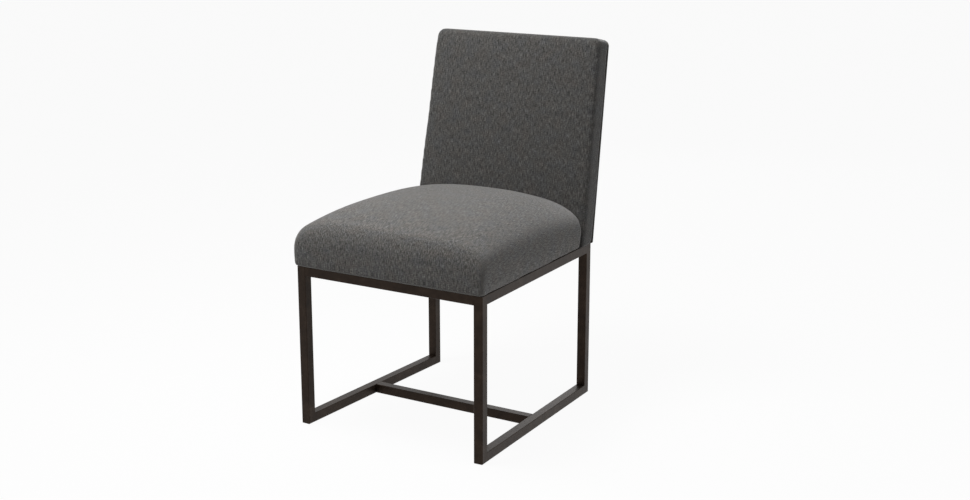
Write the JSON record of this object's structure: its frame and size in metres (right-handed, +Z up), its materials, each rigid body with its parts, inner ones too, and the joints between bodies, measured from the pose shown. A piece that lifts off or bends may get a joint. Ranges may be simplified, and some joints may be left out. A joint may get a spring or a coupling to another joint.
{
  "type": "dining chair",
  "caption": "Armless dining chair: crowned upholstered seat and raked upholstered back on a welded square-tube sled base with a floor stretcher.",
  "frame": {"origin": "centre of the floor stretcher's underside, on the floor midway along the base", "axes": "+Z up; the chair faces -Y; +X across the chair, to the right of someone looking along +Y at its front"},
  "size_m": [0.4938, 0.6122, 0.8467],
  "materials": {
    "base_finish": "satin dark bronze powder coat on mild steel",
    "zinc_hardware": "bright zinc plate",
    "hardwood": "sawn, unfinished",
    "webbing": "woven elastic webbing",
    "foam": "cut polyurethane foam",
    "upholstery": "fine heathered weave, dark grey-brown",
    "fibreboard": "thin pressed board",
    "dust_cloth": "thin non-woven black cloth"
  },
  "bodies": {
    "root": {"left_floor_rail": "base_finish", "right_floor_rail": "base_finish", "left_seat_rail": "base_finish", "right_seat_rail": "base_finish", "front_left_leg": "base_finish", "front_right_leg": "base_finish", "rear_left_leg": "base_finish", "rear_right_leg": "base_finish", "front_seat_rail": "base_finish", "rear_seat_rail": "base_finish", "floor_stretcher": "base_finish", "front_left_mounting_tab": "base_finish", "front_right_mounting_tab": "base_finish", "rear_left_mounting_tab": "base_finish", "rear_right_mounting_tab": "base_finish", "seat_screws": "zinc_hardware", "back_bolts": "zinc_hardware", "back_tee_nuts": "zinc_hardware", "seat_front_wood_rail": "hardwood", "seat_left_wood_rail": "hardwood", "seat_right_wood_rail": "hardwood", "seat_rear_wood_rail": "hardwood", "front_left_corner_block": "hardwood", "front_right_corner_block": "hardwood", "rear_left_corner_block": "hardwood", "rear_right_corner_block": "hardwood", "back_left_stile": "hardwood", "back_right_stile": "hardwood", "back_top_rail": "hardwood", "back_middle_rail": "hardwood", "back_lower_rail": "hardwood", "seat_lengthwise_webbing": "webbing", "seat_crosswise_webbing": "webbing", "back_webbing": "webbing", "seat_foam": "foam", "back_foam": "foam", "seat_cover": "upholstery", "back_cover": "upholstery", "outside_back_panel": "upholstery", "outside_back_stiffener": "fibreboard", "seat_dust_cover": "dust_cloth"}
  },
  "joints": []
}
